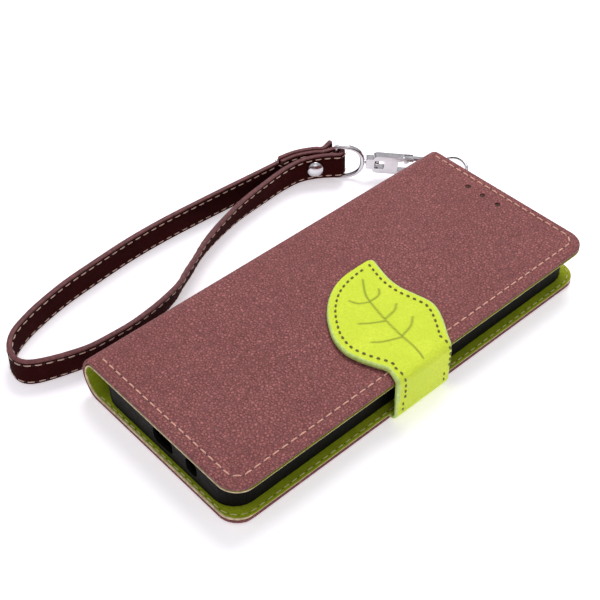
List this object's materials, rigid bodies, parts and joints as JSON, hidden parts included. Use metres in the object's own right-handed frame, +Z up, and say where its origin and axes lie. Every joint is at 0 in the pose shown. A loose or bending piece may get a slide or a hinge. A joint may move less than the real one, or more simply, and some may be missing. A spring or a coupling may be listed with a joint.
{
  "type": "phone wallet case",
  "caption": "Folding leather wallet case for a phone, with a stiff shell inside, a leaf-shaped closing flap and a riveted wrist strap on a swivel clasp.",
  "frame": {"origin": "middle of the back cover's underside, on the surface the case lies on", "axes": "+Z up through the closed case, +Y along its long side to the earpiece end, +X to the closing flap; the spine and strap are on -X"},
  "size_m": [0.1142, 0.1777, 0.019],
  "materials": {
    "brown_leather": "grained leather",
    "green_lining": "smooth synthetic leather",
    "lime_leather": "smooth leather",
    "lime_backing": "suede leather",
    "dark_leather": "smooth dark leather",
    "black_plastic": "satin",
    "board": "matt",
    "chrome": "polished",
    "steel": "plain"
  },
  "bodies": {
    "back": {"back_skin": "brown_leather", "back_board": "board", "back_lining": "green_lining", "phone_shell": "black_plastic", "strap_tab": "dark_leather"},
    "spine": {"spine_skin": "brown_leather", "spine_lining": "green_lining"},
    "front_cover": {"cover_skin": "brown_leather", "cover_board": "board", "cover_lining": "green_lining", "cash_pocket": "green_lining", "card_pocket_1": "green_lining", "card_pocket_2": "green_lining", "card_pocket_3": "green_lining", "cover_magnet": "steel"},
    "flap": {"flap_band": "lime_leather"},
    "leaf": {"leaf_outer": "lime_leather", "leaf_backing": "lime_backing", "leaf_magnet": "steel"},
    "lug": {"lug_ring": "chrome"},
    "clasp": {"clasp_hook": "chrome", "gate_pin": "steel", "gate_spring": "steel"},
    "gate": {"clasp_gate": "chrome"},
    "ring": {"d_ring": "chrome"},
    "strap": {"strap_band": "dark_leather", "rivet_cap": "chrome", "rivet_post": "steel"}
  },
  "joints": [
    {"name": "spine_fold", "type": "hinge", "parent": "back", "child": "spine", "pos_m": [-0.0315, 0, 0.0013], "axis": [0, -1, 0], "range_deg": [0, 12]},
    {"name": "cover_fold", "type": "hinge", "parent": "spine", "child": "front_cover", "pos_m": [-0.0315, 0, 0.016], "axis": [0, -1, 0], "range_deg": [0, 158], "deforming": ["leaf_outer", "leaf_backing", "leaf_magnet"]},
    {"name": "flap_swing", "type": "hinge", "parent": "back", "child": "flap", "pos_m": [0.036, 0, 0.0014], "axis": [0, 1, 0], "range_deg": [0, 80]},
    {"name": "leaf_lift", "type": "hinge", "parent": "flap", "child": "leaf", "pos_m": [0.0369, 0, 0.0174], "axis": [0, 1, 0], "range_deg": [0, 90]},
    {"name": "lug_ring_swing", "type": "hinge", "parent": "back", "child": "lug", "pos_m": [-0.02839, 0.07969, 0.0021], "axis": [0.866, 0.5, 0], "range_deg": [-5, 0]},
    {"name": "clasp_yaw", "type": "hinge", "parent": "back", "child": "clasp", "pos_m": [-0.03525, 0.08117, 0.0043], "axis": [0, 0, -1], "range_deg": [0, 15]},
    {"name": "clasp_gate", "type": "hinge", "parent": "clasp", "child": "gate", "pos_m": [-0.04294, 0.07254, 0.00868], "axis": [-0.7466, 0.6652, 0], "range_deg": [0, 25], "stiffness_Nm_per_rad": 0.01, "springref_deg": -11.46, "deforming": ["gate_spring"]},
    {"name": "clasp_swivel", "type": "hinge", "parent": "clasp", "child": "ring", "pos_m": [-0.05388, 0.06027, 0.0076], "axis": [0.6607, 0.7415, -0.117], "range_deg": [-180, 0]},
    {"name": "strap_pivot", "type": "hinge", "parent": "ring", "child": "strap", "pos_m": [-0.06, 0.0534, 0.0076], "axis": [0, 0, -1], "range_deg": [0, 40]}
  ]
}
